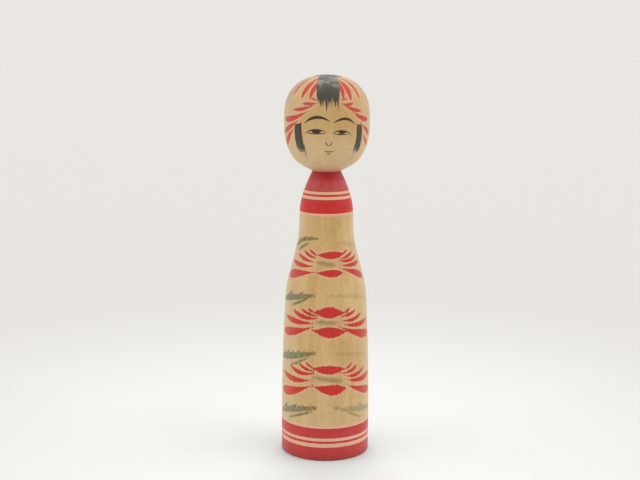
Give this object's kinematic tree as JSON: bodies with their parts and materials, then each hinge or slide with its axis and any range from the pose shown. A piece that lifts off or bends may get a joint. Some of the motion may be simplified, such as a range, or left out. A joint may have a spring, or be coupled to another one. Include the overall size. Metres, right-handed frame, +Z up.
{
  "type": "kokeshi doll",
  "caption": "Turned wooden kokeshi doll with a plug-in ball head that turns on its neck; painted hair and face, stacked flowers and red ring bands, free-standing.",
  "frame": {"origin": "on the doll's own axis, in the plane it stands on", "axes": "+Z up along the lathe axis, from the foot to the crown; -Y is the way the painted face looks; +X is to the right of someone facing the doll"},
  "size_m": [0.056, 0.056, 0.24],
  "materials": {
    "painted_body_wood": "waxed satin, dyed in bands and flowers",
    "painted_head_wood": "waxed satin, inked hair and face"
  },
  "bodies": {
    "body": {"body": "painted_body_wood"},
    "head": {"head": "painted_head_wood"}
  },
  "joints": [
    {"name": "head_turn", "type": "hinge", "parent": "body", "child": "head", "pos_m": [0, 0, 0.1805], "axis": [0, 0, 1], "continuous": true}
  ]
}
